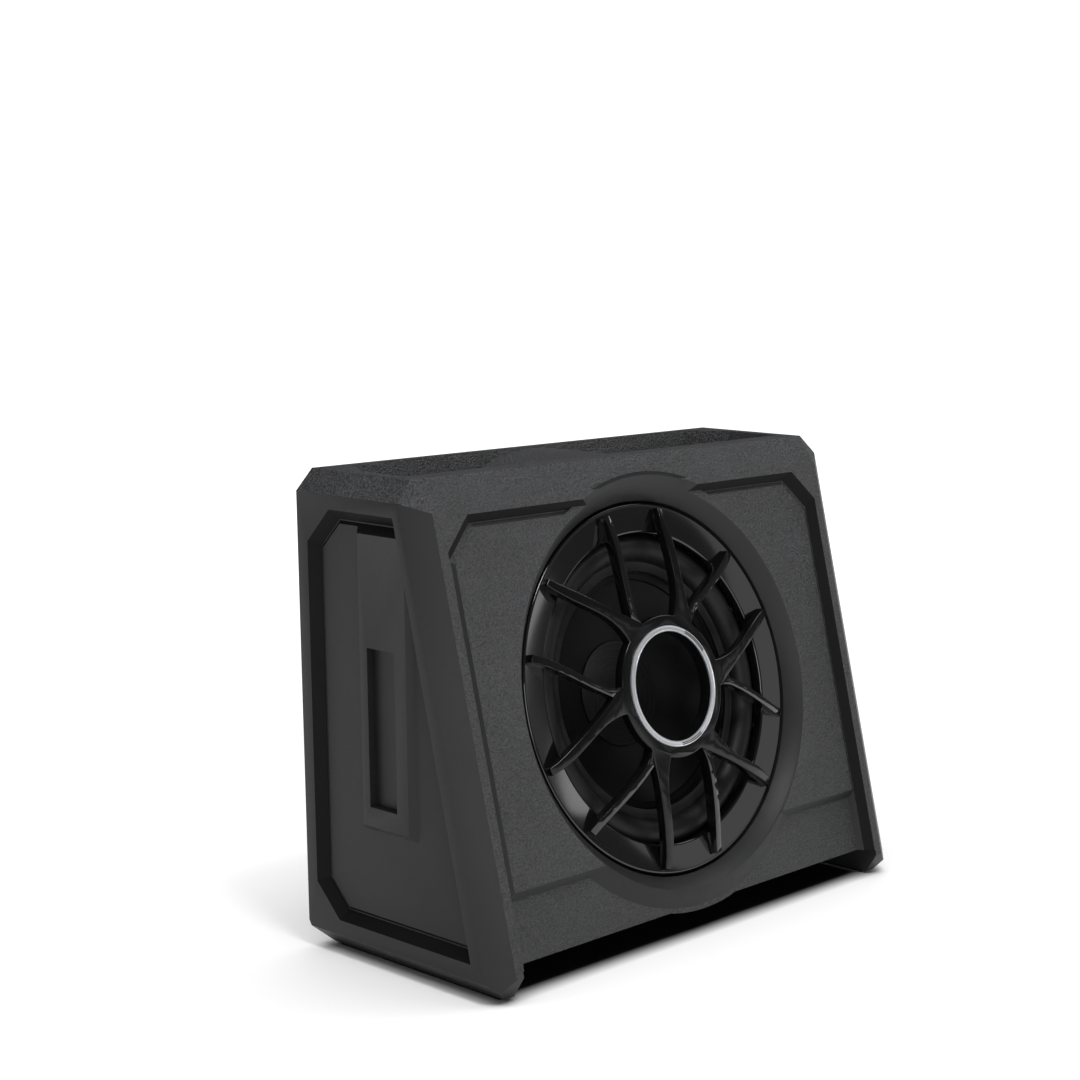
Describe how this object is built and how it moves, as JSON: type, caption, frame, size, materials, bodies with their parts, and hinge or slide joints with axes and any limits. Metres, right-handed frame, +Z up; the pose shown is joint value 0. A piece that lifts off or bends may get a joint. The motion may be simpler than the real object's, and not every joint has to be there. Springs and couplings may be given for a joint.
{
  "type": "powered car subwoofer",
  "caption": "Powered car subwoofer: wedge-shaped moulded enclosure with a spoked grille over a shallow woofer and an amplifier panel set into the back.",
  "frame": {"origin": "middle of the footprint on the floor", "axes": "+X to the right seen from the front, -Y towards the front, where the woofer faces, +Z up"},
  "size_m": [0.45, 0.2, 0.35],
  "materials": {
    "shell_paint": "matte",
    "panel_black": "matte",
    "rubber_black": "matte",
    "gloss_black": "gloss",
    "satin_black": "satin",
    "silver_trim": "brushed",
    "cone_paper": "matte",
    "basket_paint": "satin",
    "zinc_steel": "satin",
    "black_steel": "satin",
    "ferrite": "matte",
    "brass_metal": "satin",
    "copper_wire": "satin",
    "spider_cloth": "matte",
    "wadding": "matte",
    "board_green": "satin",
    "fin_aluminium": "anodised",
    "clamp_aluminium": "satin",
    "white_plastic": "satin",
    "fuse_orange": "gloss",
    "led_lens": "gloss"
  },
  "bodies": {
    "housing": {"enclosure": "shell_paint", "rear_panel": "panel_black", "rear_panel_gasket": "rubber_black", "rear_panel_screws": "black_steel", "sole_pads": "rubber_black", "mounting_inserts": "brass_metal", "acoustic_wadding": "wadding", "driver_gasket": "rubber_black", "basket": "basket_paint", "driver_screws": "zinc_steel", "top_plate": "zinc_steel", "magnet": "ferrite", "pole_plate": "zinc_steel", "magnet_boot": "rubber_black", "spider": "spider_cloth", "surround": "rubber_black", "driver_terminals": "brass_metal", "grille_ring": "gloss_black", "grille_star": "satin_black", "grille_blades": "gloss_black", "hub_trim": "silver_trim", "grille_clips": "satin_black", "amp_plate": "fin_aluminium", "amp_gasket": "rubber_black", "amp_screws": "zinc_steel", "heatsink": "fin_aluminium", "circuit_board": "board_green", "board_standoffs": "brass_metal", "toroid": "copper_wire", "filter_capacitors": "satin_black", "power_transistors": "satin_black", "transistor_clamp": "clamp_aluminium", "power_block": "satin_black", "power_block_screws": "brass_metal", "fuse_holder": "satin_black", "fuses": "fuse_orange", "rca_jacks": "brass_metal", "rca_insulators": "white_plastic", "speaker_level_socket": "white_plastic", "remote_level_jack": "satin_black", "power_led": "led_lens", "knob_pots": "zinc_steel", "switch_body": "zinc_steel"},
    "cone_assembly": {"cone": "cone_paper", "dust_cap": "satin_black", "coil_former": "spider_cloth", "voice_coil": "copper_wire"},
    "gain_control": {"gain_knob": "satin_black"},
    "crossover_control": {"crossover_knob": "satin_black"},
    "bass_boost_control": {"bass_boost_knob": "satin_black"},
    "phase_control": {"phase_switch": "satin_black"}
  },
  "joints": [
    {"name": "cone_excursion", "type": "slide", "parent": "housing", "child": "cone_assembly", "axis": [0, -0.9701, 0.2429], "range_m": [-0.009, 0.009], "stiffness_N_per_m": 6000, "deforming": ["surround", "spider"]},
    {"name": "gain_turn", "type": "hinge", "parent": "housing", "child": "gain_control", "pos_m": [-0.12, 0.0875, 0.282], "axis": [0, 1, 0], "range_deg": [-140, 140]},
    {"name": "crossover_turn", "type": "hinge", "parent": "housing", "child": "crossover_control", "pos_m": [-0.092, 0.0875, 0.282], "axis": [0, 1, 0], "range_deg": [-140, 140]},
    {"name": "bass_boost_turn", "type": "hinge", "parent": "housing", "child": "bass_boost_control", "pos_m": [-0.064, 0.0875, 0.282], "axis": [0, 1, 0], "range_deg": [-140, 140]},
    {"name": "phase_slide", "type": "slide", "parent": "housing", "child": "phase_control", "axis": [1, 0, 0], "range_m": [0, 0.004]}
  ]
}
